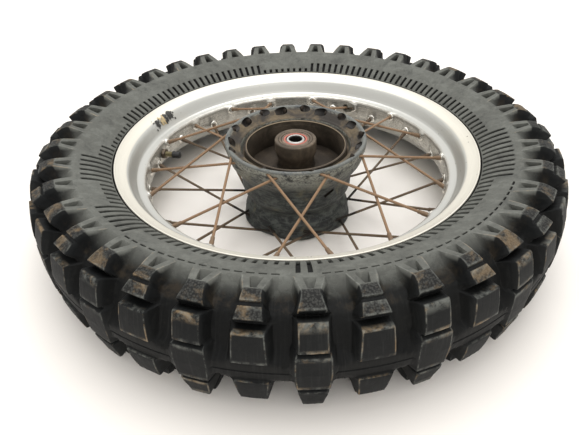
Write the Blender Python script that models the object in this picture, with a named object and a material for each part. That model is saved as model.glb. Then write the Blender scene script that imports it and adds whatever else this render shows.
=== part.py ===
"""A spoked motorcycle rear wheel with a knobbly tyre and a drum-brake hub, lying on its sprocket side.

The wheel's centre is the origin and its axle is the Z axis, with the brake side up. Profiles are lists
of (radius, height) in millimetres; every object is built in metres.
"""

import math

import bmesh
import bpy
from mathutils import Matrix, Vector

MM = 0.001

# Tyre
COLUMNS = 38                      # columns of knobs round the tread
FIRST_COLUMN = math.radians(215.16)
CROWN_RADIUS = 348.9
RIB_RADIUS = 345.4                # the rib that runs round the middle of the tread
HALF_WIDTH = 70.0                 # the tyre's widest point, which it rests on
TUBE_HOLE_RADIUS = 2.5            # where the tube opens into the valve

# Rim and spokes
RIM_SEGMENTS = 36
BED_RADIUS = 206.8                # the rim's face towards the hub
BED_OUTER_RADIUS = 212.2
SPOKE_SIDES = 6
SPOKE_RADIUS = 1.75
HEAD_RADIUS = 3.4
HEAD_LENGTH = 2.6
NIPPLE_RADIUS = 4.0
NIPPLE_SEAT_RADIUS = 5.0
NIPPLE_LENGTH = 20.0
NIPPLE_SEAT_LENGTH = 3.0
NIPPLE_END_RADIUS = 209.3         # how far out from the axle a nipple ends
SPOKE_PAIRS = 9                   # on each flange
SPOKE_SWEEP = math.radians(30.0)  # from a pair's crossing to each of its rim holes
CROSSING_OFFSET = 1.95            # half the step that lets two spokes pass each other
RIM_HOLE_HEIGHT = 5.5
HOLE_CLEARANCE = 0.45             # round a spoke or a nipple
# flange: height sign, angle of the first pair, crossing radius and height, radius where the head seats
BRAKE_FLANGE = (1.0, math.radians(11.5), 99.5, 43.0, 91.0)
SPROCKET_FLANGE = (-1.0, math.radians(1.5), 79.0, 57.0, 72.0)

# Hub and bearings
HUB_SEGMENTS = 30
BEARING_SEGMENTS = 18
BEARING_WIDTH = 14.0
BEARING_BORE = 8.5
BEARING_SEAT = 23.5
BRAKE_BEARING_BASE = 33.0
SPROCKET_BEARING_BASE = -64.0
BALLS = 7
BALL_RADIUS = 4.37
BALL_PITCH_RADIUS = 16.0
GAP = 0.3                         # between two pieces that touch

# Valve and balance weight
VALVE_ANGLE = math.radians(166.5)
VALVE_RADIUS = 4.0
VALVE_HOLE_RADIUS = 4.6
VALVE_BASE_RADIUS = 214.0         # how far out from the axle the stem starts
VALVE_LENGTH = 33.0
NUT_BASE_RADIUS = 205.4
NUT_RADIUS = 8.0                  # to a corner of the hexagon
NUT_BORE_RADIUS = 4.4
NUT_HEIGHT = 4.5
CAP_RADIUS = 5.2
CAP_START = 24.0                  # along the stem
CAP_END = 36.0
WEIGHT_RADIUS = 7.2
WEIGHT_START = 7.0                # along the nipple
WEIGHT_END = 20.0
WEIGHTED_PAIR = 2                 # the brake-side pair whose backward spoke carries the weight


def clear_scene():
    for obj in list(bpy.data.objects):
        bpy.data.objects.remove(obj, do_unlink=True)


def material(name, colour, roughness, metallic):
    made = bpy.data.materials.new(name)
    made.use_nodes = True
    shader = made.node_tree.nodes["Principled BSDF"]
    shader.inputs["Base Color"].default_value = (*colour, 1.0)
    shader.inputs["Roughness"].default_value = roughness
    shader.inputs["Metallic"].default_value = metallic
    made.diffuse_color = (*colour, 1.0)
    return made


def polar(radius, angle, height):
    """A point in metres from a radius and a height in millimetres."""
    return Vector((radius * math.cos(angle), radius * math.sin(angle), height)) * MM


def add_object(name, bm, finish, crease=35.0):
    """Turn a bmesh into an object whose faces point out, shaded smooth except across sharp edges."""
    bmesh.ops.recalc_face_normals(bm, faces=bm.faces)
    mesh = bpy.data.meshes.new(name)
    bm.to_mesh(mesh)
    bm.free()
    mesh.shade_smooth()
    mesh.set_sharp_from_angle(angle=math.radians(crease))
    obj = bpy.data.objects.new(name, mesh)
    bpy.context.scene.collection.objects.link(obj)
    if finish is not None:
        mesh.materials.append(finish)
    return obj


def bridge(bm, first, second, closed=True):
    """Join two rows of vertices with quads."""
    count = len(first)
    for i in range(count if closed else count - 1):
        j = (i + 1) % count
        bm.faces.new((first[i], first[j], second[j], second[i]))


def ring_mesh(loop, segments, sweep=360.0, frame=Matrix.Identity(4), start=0.0):
    """Turn a closed outline about the Z axis of a frame; less than a full turn is capped at its ends."""
    bm = bmesh.new()
    full = sweep >= 360.0
    stations = segments if full else segments + 1
    columns = []
    for i in range(stations):
        angle = start + math.radians(sweep) * i / segments
        columns.append([bm.verts.new(frame @ polar(r, angle, z)) for r, z in loop])
    for i in range(segments):
        bridge(bm, columns[i], columns[(i + 1) % stations])
    if not full:
        bm.faces.new(columns[0])
        bm.faces.new(columns[-1])
    return bm


def rod_into(bm, stations, sides, origin, direction):
    """Add a solid of revolution with flat ends; stations are (radius, distance along the direction)."""
    turn = Vector(direction).to_track_quat("Z", "Y").to_matrix().to_4x4()
    frame = Matrix.Translation(origin) @ turn
    rows = []
    for radius, distance in stations:
        row = [polar(radius, 2.0 * math.pi * i / sides, distance) for i in range(sides)]
        rows.append([bm.verts.new(frame @ point) for point in row])
    for first, second in zip(rows, rows[1:]):
        bridge(bm, first, second)
    bm.faces.new(rows[0])
    bm.faces.new(rows[-1])


def ring(name, loop, segments, finish, **options):
    return add_object(name, ring_mesh(loop, segments, **options), finish)


def rod(name, stations, sides, origin, direction, finish):
    bm = bmesh.new()
    rod_into(bm, stations, sides, origin, direction)
    return add_object(name, bm, finish)


def cutter(name, bm):
    obj = add_object(name, bm, None)
    obj.hide_render = True
    obj.display_type = "WIRE"
    return obj


def cut(target, tool, operation="DIFFERENCE"):
    modifier = target.modifiers.new(tool.name, "BOOLEAN")
    modifier.operation = operation
    modifier.object = tool


def mirrored(half):
    """A closed outline from its upper half."""
    return half + [(r, -z) for r, z in reversed(half)]


# ---------------------------------------------------------------- tyre and tube

def tread_rows():
    """Half the tread's rows, from the upper sidewall to the middle.

    Each row is the point in the gaps between columns, then a point and a width along the tread for
    a column with long shoulder blocks, then the same for a column with short ones.
    """
    edge = [
        ((292.0, 64.5), ((292.0, 64.5), 27.0), ((292.0, 64.5), 27.0)),
        ((301.0, 62.0), ((308.0, HALF_WIDTH), 20.5), ((308.0, HALF_WIDTH), 20.5)),
        ((310.0, 58.0), ((316.0, HALF_WIDTH), 18.0), ((316.0, HALF_WIDTH), 18.0)),
        ((316.5, 53.0), ((336.2, 59.2), 26.5), ((329.6, 64.2), 25.8)),
        ((320.0, 49.0), ((325.5, 50.0), 29.0), ((321.5, 58.4), 27.5)),
    ]
    middle = [
        ((322.5, 45.0), ((341.8, 46.0), 29.6), ((337.6, 57.4), 26.2)),
        ((331.0, 25.0), ((346.4, 15.5), 33.0), ((344.7, 28.0), 27.6)),
        ((337.0, 15.5), ((339.5, 14.0), 33.0), ((338.0, 25.5), 30.0)),
        ((344.6, 12.4), ((344.6, 12.4), 33.0), ((347.4, 22.0), 33.0)),
        ((RIB_RADIUS, 8.0), ((RIB_RADIUS, 8.0), 33.0), ((CROWN_RADIUS, 8.0), 34.0)),
    ]
    return edge + middle


def tyre(finish):
    """A carcass open at the bead, with alternating columns of blocks moulded on it."""
    pitch = 2.0 * math.pi / COLUMNS
    upper = tread_rows()
    bm = bmesh.new()
    stations = []
    for column in range(COLUMNS):
        gap_angle = first_gap() + pitch * column
        kind = 1 if column % 2 else 2
        lines = ([], [], [])
        for sign, rows in ((1.0, upper), (-1.0, upper[::-1])):
            for row in rows:
                (radius, height), ((block_radius, block_height), width) = row[0], row[kind]
                half_angle = 0.5 * width / block_radius
                middle = gap_angle + 0.5 * pitch
                lines[0].append(bm.verts.new(polar(radius, gap_angle, sign * height)))
                lines[1].append(bm.verts.new(polar(block_radius, middle - half_angle, sign * block_height)))
                lines[2].append(bm.verts.new(polar(block_radius, middle + half_angle, sign * block_height)))
        stations.extend(lines)
    for first, second in zip(stations, stations[1:] + stations[:1]):
        bridge(bm, first, second, closed=False)
    inner = bead_and_cavity()
    columns = []
    for column in range(COLUMNS):
        angle = first_gap() + pitch * column
        columns.append([bm.verts.new(polar(r, angle, z)) for r, z in inner])
    for column in range(COLUMNS):
        after = (column + 1) % COLUMNS
        bridge(bm, columns[column], columns[after], closed=False)
        for end in (0, -1):
            edge = [stations[(3 * column + i) % len(stations)][end] for i in range(4)]
            low, high = columns[column][end], columns[after][end]
            bm.faces.new((low, edge[0], edge[1]))
            bm.faces.new((low, edge[1], edge[2], high))
            bm.faces.new((high, edge[2], edge[3]))
    return add_object("tyre", bm, finish)


def first_gap():
    """Angle of the gap before the first column of knobs."""
    return FIRST_COLUMN - math.pi / COLUMNS


def bead_and_cavity():
    """From the upper sidewall round the bead and the cavity to the lower sidewall."""
    bead = [(266.0, 57.5), (246.2, 44.6), (245.4, 40.3), (231.2, 31.8), (230.8, 18.6)]
    cavity = [(250.0, 34.0), (270.0, 51.0), (296.0, 55.5), (312.0, 44.0), (323.0, 22.0)]
    return mirrored(bead + cavity)


def inner_tube(finish):
    """A hollow ring that fills the tyre, open at the valve."""
    skin = [
        (215.4, 8.5), (228.0, 14.0), (250.0, 32.5), (270.0, 49.3),
        (295.6, 54.0), (311.0, 43.0), (321.7, 21.5),
    ]
    lining = [
        (218.0, 7.0), (229.5, 11.9), (252.0, 30.6), (271.5, 47.0),
        (294.5, 51.4), (309.0, 41.2), (319.4, 20.6),
    ]
    tube = ring("inner_tube", mirrored(skin), COLUMNS, finish, start=first_gap())
    cut(tube, cutter("tube_hollow", ring_mesh(mirrored(lining), COLUMNS, start=first_gap())))
    cut(tube, cutter("tube_valve_hole", valve_hole(TUBE_HOLE_RADIUS, 6)))


# ---------------------------------------------------------------- rim and spokes

def spoke_line(flange, pair, way):
    """The outer end of a spoke's nipple, the direction to the hub, and the length to the head's seat."""
    sign, first, crossing_radius, crossing_height, seat_radius = flange
    angle = first + 2.0 * math.pi * pair / SPOKE_PAIRS
    step = way * CROSSING_OFFSET
    crossing = polar(crossing_radius, angle, sign * crossing_height + step)
    end = polar(NIPPLE_END_RADIUS, angle + way * SPOKE_SWEEP, sign * RIM_HOLE_HEIGHT + step)
    direction = (crossing - end).normalized()
    flat = Vector((direction.x, direction.y))
    start = Vector((end.x, end.y))
    half = start.dot(flat) / flat.length_squared
    depth = (start.length_squared - (seat_radius * MM) ** 2) / flat.length_squared
    near = -half - math.sqrt(half * half - depth)
    return end, direction, near / MM, (crossing - end).length / MM


def every_spoke():
    for side, flange in (("brake", BRAKE_FLANGE), ("sprocket", SPROCKET_FLANGE)):
        for pair in range(SPOKE_PAIRS):
            for way in (-1.0, 1.0):
                number = 2 * pair + (1 if way < 0 else 2)
                yield f"{side}_spoke_{number:02d}", flange, pair, way


def spoke(name, flange, pair, way, finish):
    """A spoke with its head at the hub and its nipple at the rim."""
    end, direction, seat, _ = spoke_line(flange, pair, way)
    stations = [
        (NIPPLE_SEAT_RADIUS, 0.0),
        (NIPPLE_RADIUS, NIPPLE_SEAT_LENGTH),
        (NIPPLE_RADIUS, NIPPLE_LENGTH),
        (SPOKE_RADIUS, NIPPLE_LENGTH + 1.0),
        (SPOKE_RADIUS, seat),
        (HEAD_RADIUS, seat + HEAD_LENGTH),
    ]
    rod(name, stations, SPOKE_SIDES, end, direction, finish)


def rim(finish):
    half = [
        (BED_RADIUS, 9.5), (211.5, 14.2), (224.4, 19.5), (228.7, 36.0), (241.6, 44.3), (243.5, 42.0),
        (230.0, 33.0), (228.2, 17.6), (215.8, 12.4), (BED_OUTER_RADIUS, 10.0),
    ]
    body = ring("rim", mirrored(half), RIM_SEGMENTS, finish)
    holes = valve_hole(VALVE_HOLE_RADIUS, 8)
    for _, flange, pair, way in every_spoke():
        end, direction, _, _ = spoke_line(flange, pair, way)
        taper = [(NIPPLE_SEAT_RADIUS + 2.0 * HOLE_CLEARANCE, -4.0), (NIPPLE_RADIUS + HOLE_CLEARANCE, 7.0)]
        rod_into(holes, taper, SPOKE_SIDES, end, direction)
    cut(body, cutter("rim_holes", holes))


def valve_hole(radius, sides):
    """A cutter through the rim, its band and the tube's inner wall."""
    bm = bmesh.new()
    rod_into(bm, [(radius, 200.0), (radius, 225.0)], sides, Vector(), polar(1.0, VALVE_ANGLE, 0.0))
    return bm


def rim_band(finish):
    band = ring("rim_band", mirrored([(212.6, 9.0), (214.0, 9.0)]), RIM_SEGMENTS, finish)
    cut(band, cutter("band_hole", valve_hole(VALVE_HOLE_RADIUS, 8)))


# ---------------------------------------------------------------- hub

def hub_outline():
    """Down the outside from the brake flange, under the sprocket face, up the bore, down into the drum."""
    outside = [(96.9, 52.6), (97.3, 40.5), (92.8, 25.0), (78.2, 4.0), (77.6, -19.0), (66.0, -37.0)]
    sprocket_flange = [(76.2, -51.0), (77.0, -61.6), (81.0, -63.6), (81.0, -68.2), (79.6, -69.4)]
    recess = [(69.8, -69.4), (69.8, -51.0), (57.0, -42.0), (57.0, -9.0), (33.0, -9.0), (31.0, -69.4)]
    seal_seat = [(26.0, -69.4), (26.0, -66.3), (BEARING_SEAT, -66.3), (BEARING_SEAT, -65.7)]
    clip_groove = [(25.0, -65.7), (25.0, -64.1), (BEARING_SEAT, -64.1)]
    bore = [(BEARING_SEAT, -49.7), (16.0, -49.7), (16.0, 32.7), (BEARING_SEAT, 32.7)]
    boss = [(BEARING_SEAT, 47.4), (28.0, 47.4), (28.8, 46.6), (29.2, 31.0), (25.6, 21.0), (25.0, 3.0)]
    drum = [(71.4, 3.0), (71.4, 28.0), (75.0, 30.0), (76.0, 40.0), (78.5, 41.0), (93.5, 52.6)]
    return outside + sprocket_flange + recess + seal_seat + clip_groove + bore + boss + drum


def hub_shell(finish):
    body = ring("hub_shell", hub_outline(), HUB_SEGMENTS, finish)
    holes = bmesh.new()
    for _, flange, pair, way in every_spoke():
        end, direction, seat, crossing = spoke_line(flange, pair, way)
        stations = [
            (SPOKE_RADIUS + HOLE_CLEARANCE, crossing + 1.2),
            (SPOKE_RADIUS + HOLE_CLEARANCE, seat - 0.3),
            (HEAD_RADIUS + HOLE_CLEARANCE, seat + HEAD_LENGTH - 0.3),
            (HEAD_RADIUS + HOLE_CLEARANCE, seat + 14.0),
        ]
        rod_into(holes, stations, SPOKE_SIDES, end, direction)
    cut(body, cutter("hub_spoke_holes", holes))


def drum_liner(finish):
    loop = [(67.2, 3.3), (71.0, 3.3), (71.0, 39.0), (70.4, 39.6), (67.8, 39.6), (67.2, 38.6)]
    ring("brake_drum_liner", loop, HUB_SEGMENTS, finish)


# ---------------------------------------------------------------- bearings

def bearing(side, base, seal_height, finishes):
    """A sealed ball bearing whose lower face is at a height."""
    middle = base + BEARING_WIDTH / 2.0
    top = base + BEARING_WIDTH
    outer = [
        (23.2, base), (23.2, top), (20.0, top), (18.9, middle + 4.6), (21.3, middle + 2.0),
        (21.3, middle - 2.0), (18.9, middle - 4.6), (20.0, base),
    ]
    inner = [
        (BEARING_BORE, base), (BEARING_BORE, top), (13.2, top), (13.2, middle + 4.2),
        (11.1, middle + 2.0), (11.1, middle - 2.0), (13.2, middle - 4.2), (13.2, base),
    ]
    steel, cage_finish, rubber = finishes
    ring(f"{side}_bearing_outer_race", outer, BEARING_SEGMENTS, steel)
    ring(f"{side}_bearing_inner_race", inner, BEARING_SEGMENTS, steel)
    seal = [(13.7, seal_height), (19.3, seal_height), (19.3, seal_height + 0.7), (13.7, seal_height + 0.7)]
    ring(f"{side}_bearing_seal", seal, BEARING_SEGMENTS, rubber)
    ball_cage(side, middle, cage_finish)


def ball_cage(side, middle, finish):
    """The balls held in their cage ring."""
    loop = [(14.8, middle - 0.9), (17.2, middle - 0.9), (17.2, middle + 0.9), (14.8, middle + 0.9)]
    cage = ring(f"{side}_bearing_balls_and_cage", loop, 2 * BALLS, finish)
    balls = bmesh.new()
    for i in range(BALLS):
        place = Matrix.Translation(polar(BALL_PITCH_RADIUS, 2.0 * math.pi * i / BALLS, middle))
        bmesh.ops.create_uvsphere(balls, u_segments=6, v_segments=4, radius=BALL_RADIUS * MM, matrix=place)
    cut(cage, cutter(f"{side}_balls", balls), "UNION")


def axle_parts(steel, rubber):
    low = SPROCKET_BEARING_BASE + BEARING_WIDTH + GAP
    high = BRAKE_BEARING_BASE - GAP
    ring("bearing_spacer", [(8.7, low), (12.0, low), (12.0, high), (8.7, high)], BEARING_SEGMENTS, steel)
    clip = [(21.0, -65.4), (24.6, -65.4), (24.6, -64.4), (21.0, -64.4)]
    ring("bearing_circlip", clip, BEARING_SEGMENTS, steel, sweep=320.0)
    seal = [(14.0, -69.0), (25.6, -69.0), (25.6, -66.6), (16.5, -66.6), (14.0, -68.0)]
    ring("sprocket_side_oil_seal", seal, BEARING_SEGMENTS, rubber)


# ---------------------------------------------------------------- valve and weight

def valve(brass, steel, plastic):
    """The tube's valve stem, pointing at the hub, with its nut on the rim and its cap."""
    inward = polar(-1.0, VALVE_ANGLE, 0.0)
    base = polar(VALVE_BASE_RADIUS, VALVE_ANGLE, 0.0)
    stem = [(VALVE_RADIUS, 0.0), (VALVE_RADIUS, VALVE_LENGTH - 2.0), (0.65 * VALVE_RADIUS, VALVE_LENGTH)]
    rod("valve_stem", stem, 12, base, inward, brass)
    turn = inward.to_track_quat("Z", "Y").to_matrix().to_4x4()
    valve_nut(Matrix.Translation(polar(NUT_BASE_RADIUS, VALVE_ANGLE, 0.0)) @ turn, steel)
    outside = [(CAP_RADIUS, CAP_START), (CAP_RADIUS, CAP_END - 1.5), (CAP_RADIUS - 1.4, CAP_END)]
    cap = rod("valve_cap", outside, 12, base, inward, plastic)
    bore = bmesh.new()
    bore_radius = VALVE_RADIUS + 0.4
    rod_into(bore, [(bore_radius, CAP_START - 4.0), (bore_radius, VALVE_LENGTH + 0.6)], 12, base, inward)
    cut(cap, cutter("cap_bore", bore))


def valve_nut(frame, finish):
    """A hexagon nut on the hub side of the rim."""
    bm = bmesh.new()
    sides = 12
    flat_radius = NUT_RADIUS * math.cos(math.pi / 6.0)
    outline = [(NUT_RADIUS, flat_radius), (NUT_BORE_RADIUS, NUT_BORE_RADIUS)]
    stations = [(*outline[0], 0.0), (*outline[0], NUT_HEIGHT), (*outline[1], NUT_HEIGHT), (*outline[1], 0.0)]
    rows = []
    for corner, flat, height in stations:
        row = []
        for i in range(sides):
            radius = flat if i % 2 else corner
            row.append(bm.verts.new(frame @ polar(radius, 2.0 * math.pi * i / sides, height)))
        rows.append(row)
    for i in range(len(rows)):
        bridge(bm, rows[i], rows[(i + 1) % len(rows)])
    add_object("valve_nut", bm, finish)


def balance_weight(finish):
    """A split sleeve clamped round one nipple."""
    end, direction, _, _ = spoke_line(BRAKE_FLANGE, WEIGHTED_PAIR, -1.0)
    frame = Matrix.Translation(end) @ direction.to_track_quat("Z", "Y").to_matrix().to_4x4()
    inner = NIPPLE_RADIUS + 0.5
    bevel = 0.8
    loop = [
        (inner, WEIGHT_START), (WEIGHT_RADIUS - bevel, WEIGHT_START), (WEIGHT_RADIUS, WEIGHT_START + bevel),
        (WEIGHT_RADIUS, WEIGHT_END - bevel), (WEIGHT_RADIUS - bevel, WEIGHT_END), (inner, WEIGHT_END),
    ]
    ring("balance_weight", loop, 12, finish, sweep=330.0, frame=frame)


def build():
    clear_scene()
    rubber = material("tyre_rubber", (0.045, 0.047, 0.046), 0.75, 0.0)
    tyre(rubber)
    inner_tube(material("tube_rubber", (0.02, 0.02, 0.02), 0.6, 0.0))
    rim(material("rim_aluminium", (0.8, 0.79, 0.75), 0.35, 1.0))
    rim_band(material("band_rubber", (0.1, 0.08, 0.06), 0.8, 0.0))
    plated = material("spoke_steel", (0.35, 0.2, 0.12), 0.6, 0.8)
    for name, flange, pair, way in every_spoke():
        spoke(name, flange, pair, way, plated)
    hub_shell(material("hub_paint", (0.03, 0.035, 0.04), 0.55, 0.2))
    drum_liner(material("drum_iron", (0.2, 0.17, 0.14), 0.5, 0.9))
    steel = material("bearing_steel", (0.6, 0.6, 0.6), 0.3, 1.0)
    cage = material("cage_steel", (0.5, 0.48, 0.42), 0.4, 1.0)
    red_seal = material("seal_rubber", (0.6, 0.12, 0.08), 0.6, 0.0)
    bearing("brake", BRAKE_BEARING_BASE, BRAKE_BEARING_BASE + 12.7, (steel, cage, red_seal))
    bearing("sprocket", SPROCKET_BEARING_BASE, SPROCKET_BEARING_BASE + 0.6, (steel, cage, red_seal))
    axle_parts(steel, material("oil_seal_rubber", (0.05, 0.03, 0.02), 0.6, 0.0))
    brass = material("valve_brass", (0.45, 0.38, 0.22), 0.45, 1.0)
    valve(brass, steel, material("cap_plastic", (0.02, 0.02, 0.02), 0.5, 0.0))
    balance_weight(material("weight_lead", (0.25, 0.24, 0.22), 0.6, 0.6))


build()
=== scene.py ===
import functools
import math
from collections import namedtuple

import bmesh
import bpy
import numpy as np
from mathutils import Matrix, Vector


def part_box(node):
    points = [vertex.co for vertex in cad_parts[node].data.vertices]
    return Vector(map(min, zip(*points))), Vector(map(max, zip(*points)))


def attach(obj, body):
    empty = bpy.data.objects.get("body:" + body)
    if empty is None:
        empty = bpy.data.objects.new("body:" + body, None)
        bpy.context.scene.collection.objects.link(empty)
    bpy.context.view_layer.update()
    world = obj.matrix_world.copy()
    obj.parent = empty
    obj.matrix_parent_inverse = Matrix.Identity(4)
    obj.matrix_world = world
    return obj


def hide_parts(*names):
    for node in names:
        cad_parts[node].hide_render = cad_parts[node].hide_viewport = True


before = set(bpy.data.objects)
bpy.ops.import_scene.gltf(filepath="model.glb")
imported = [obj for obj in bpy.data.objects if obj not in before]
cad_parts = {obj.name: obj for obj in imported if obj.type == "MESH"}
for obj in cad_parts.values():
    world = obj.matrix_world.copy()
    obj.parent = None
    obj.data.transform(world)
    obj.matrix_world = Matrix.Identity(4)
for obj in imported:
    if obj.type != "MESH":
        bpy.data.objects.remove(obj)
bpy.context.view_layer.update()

MM = 0.001
TAU = 2 * math.pi

# ---- the wheel's sizes, as the frame has them

Flange = namedtuple("Flange", "sign first_angle crossing_radius crossing_height seat_radius")

COLUMNS = 38
PITCH = TAU / COLUMNS
FIRST_COLUMN = math.radians(215.16)
SLOTS_PER_COLUMN = 4
BRAKE_FLANGE = Flange(1, math.radians(11.5), 99.5, 43, 91)
SPROCKET_FLANGE = Flange(-1, math.radians(1.5), 79, 57, 72)
SPOKE_PAIRS = 9
SPOKE_SWEEP = math.radians(30)
CROSSING_OFFSET = 1.95
RIM_HOLE_HEIGHT = 5.5
NIPPLE_END_RADIUS = 209.3
BED_RADIUS = 206.8
VALVE_ANGLE = math.radians(166.5)
VALVE_NUT_RADIUS = 205.4
WEIGHTED_PAIR = 2
BRAKE_BEARING_BASE = 33
SPROCKET_BEARING_BASE = -64


# ---- camera, floor and light

CAMERA_PITCH, CAMERA_YAW, CAMERA_ROLL = 0.65774, -0.01768, -0.0308
CAMERA_PLACE = (0, -0.6174, 0.387)
CAMERA_LENS = 31.46
SKY_COLOUR = (1, 0.99, 0.975, 1)
SKY_STRENGTH = 1.08
FLOOR_HALF = 6
FLOOR_GAP = 0.0003


def add_object(name, data, matrix=Matrix.Identity(4)):
    obj = bpy.data.objects.new(name, data)
    obj.matrix_world = matrix
    bpy.context.scene.collection.objects.link(obj)
    return obj


def camera():
    pitch, yaw, roll = CAMERA_PITCH, CAMERA_YAW, CAMERA_ROLL
    forward = Vector((math.sin(yaw) * math.cos(pitch), math.cos(yaw) * math.cos(pitch), -math.sin(pitch)))
    right = Vector((math.cos(yaw), -math.sin(yaw), 0))
    up = right.cross(forward)
    level = math.cos(roll) * right + math.sin(roll) * up
    head = math.cos(roll) * up - math.sin(roll) * right
    data = bpy.data.cameras.new("camera")
    data.sensor_width = 36
    data.lens = CAMERA_LENS
    data.clip_start = 0.01
    axes = Matrix((level, head, -forward)).transposed().to_4x4()
    bpy.context.scene.camera = add_object("camera", data, Matrix.Translation(CAMERA_PLACE) @ axes)


def area_light(name, place, size, power, colour=(1, 1, 1)):
    """A soft round lamp that faces the wheel's centre."""
    data = bpy.data.lights.new(name, "AREA")
    data.shape = "DISK"
    data.size = size
    data.energy = power
    data.color = colour
    lamp = add_object(name, data)
    lamp.location = place
    lamp.rotation_euler = (-Vector(place)).to_track_quat("-Z", "Y").to_euler()


def studio():
    world = bpy.data.worlds.new("studio")
    world.use_nodes = True
    sky = world.node_tree.nodes["Background"]
    sky.inputs["Color"].default_value = SKY_COLOUR
    sky.inputs["Strength"].default_value = SKY_STRENGTH
    bpy.context.scene.world = world
    area_light("key", (0.1, 0.45, 2.2), 1.9, 27)
    area_light("fill", (0.5, -1.2, 1.6), 1.8, 4, (1, 0.98, 0.96))
    view = bpy.context.scene.view_settings
    view.view_transform = "Standard"
    view.look = "None"
    view.exposure = 0


# ---- node material helpers

def srgb(code):
    """A linear colour from a six-digit hexadecimal one."""
    parts = [int(code[i:i + 2], 16) / 255 for i in (0, 2, 4)]
    return tuple(p / 12.92 if p <= 0.04045 else ((p + 0.055) / 1.055) ** 2.4 for p in parts)


class Paint:
    """A node material under construction. Lengths on the object are in metres."""

    def __init__(self, name):
        self.material = bpy.data.materials.new(name)
        self.material.use_nodes = True
        self.tree = self.material.node_tree
        self.shader = self.tree.nodes["Principled BSDF"]

    def node(self, kind, inputs=None, **settings):
        """A new node with its settings, and with its inputs fed by their names or numbers."""
        made = self.tree.nodes.new(kind)
        for key, value in settings.items():
            setattr(made, key, value)
        for key, source in (inputs or {}).items():
            self.link(source, made.inputs[key])
        return made

    def link(self, source, socket):
        """Feeds a socket from another socket, a number or a colour."""
        if hasattr(source, "links"):
            self.tree.links.new(source, socket)
        elif isinstance(source, tuple):
            socket.default_value = (*source, 1)
        else:
            socket.default_value = source

    def math(self, operation, a, b=0):
        return self.node("ShaderNodeMath", {0: a, 1: b}, operation=operation).outputs[0]

    def plus(self, *terms):
        return functools.reduce(functools.partial(self.math, "ADD"), terms)

    def times(self, *factors):
        return functools.reduce(functools.partial(self.math, "MULTIPLY"), factors)

    def rest(self, share):
        """What a share leaves of 1."""
        return self.math("SUBTRACT", 1, share)

    def ramp(self, value, low, high):
        """0 below low and 1 above high, with a smooth step between."""
        inputs = {"Value": value, "From Min": low, "From Max": high}
        return self.node("ShaderNodeMapRange", inputs, interpolation_type="SMOOTHSTEP").outputs["Result"]

    def below(self, value, low, high):
        """1 below low and 0 above high, with a smooth step between."""
        return self.rest(self.ramp(value, low, high))

    def object_place(self):
        return self.node("ShaderNodeTexCoord").outputs["Object"]

    def world_place(self):
        return self.node("ShaderNodeNewGeometry").outputs["Position"]

    def vector(self, x=0, y=0, z=0):
        return self.node("ShaderNodeCombineXYZ", {0: x, 1: y, 2: z}).outputs[0]

    def polar(self, place=None):
        """Radius from the axle, height and angle of the shaded point."""
        x, y, z = self.node("ShaderNodeSeparateXYZ", {0: place or self.object_place()}).outputs
        radius = self.math("SQRT", self.plus(self.times(x, x), self.times(y, y)))
        return radius, z, self.math("ARCTAN2", y, x)

    def noise(self, scale, detail, roughness, vector=None, distortion=0):
        inputs = {"Scale": scale, "Detail": detail, "Roughness": roughness, "Distortion": distortion}
        inputs["Vector"] = vector or self.object_place()
        return self.node("ShaderNodeTexNoise", inputs).outputs["Fac"]

    def cells(self, scale):
        inputs = {"Scale": scale, "Vector": self.object_place()}
        return self.node("ShaderNodeTexVoronoi", inputs, feature="F1").outputs["Distance"]

    def mix(self, factor, a, b):
        made = self.node("ShaderNodeMix", data_type="RGBA")
        for key, source in (("Factor", factor), ("A", a), ("B", b)):
            self.link(source, made.inputs[key])
        return next(s for s in made.outputs if s.type == "RGBA")

    def blend(self, factor, first, second):
        """A mix of two colours given by their codes."""
        return self.mix(factor, srgb(first), srgb(second))

    def coat(self, base, colour, *factors):
        """The base under a coat of a colour, as strong as the product of the factors."""
        return self.mix(self.times(*factors), base, srgb(colour))

    def bump(self, height, strength, distance):
        made = self.node("ShaderNodeBump", {"Strength": strength, "Distance": distance, "Height": height})
        self.link(made.outputs["Normal"], self.shader.inputs["Normal"])

    def finish(self, colour, roughness, metallic=0):
        for name, source in (("Base Color", colour), ("Roughness", roughness), ("Metallic", metallic)):
            self.link(source, self.shader.inputs[name])
        return self.material


# ---- materials

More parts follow.
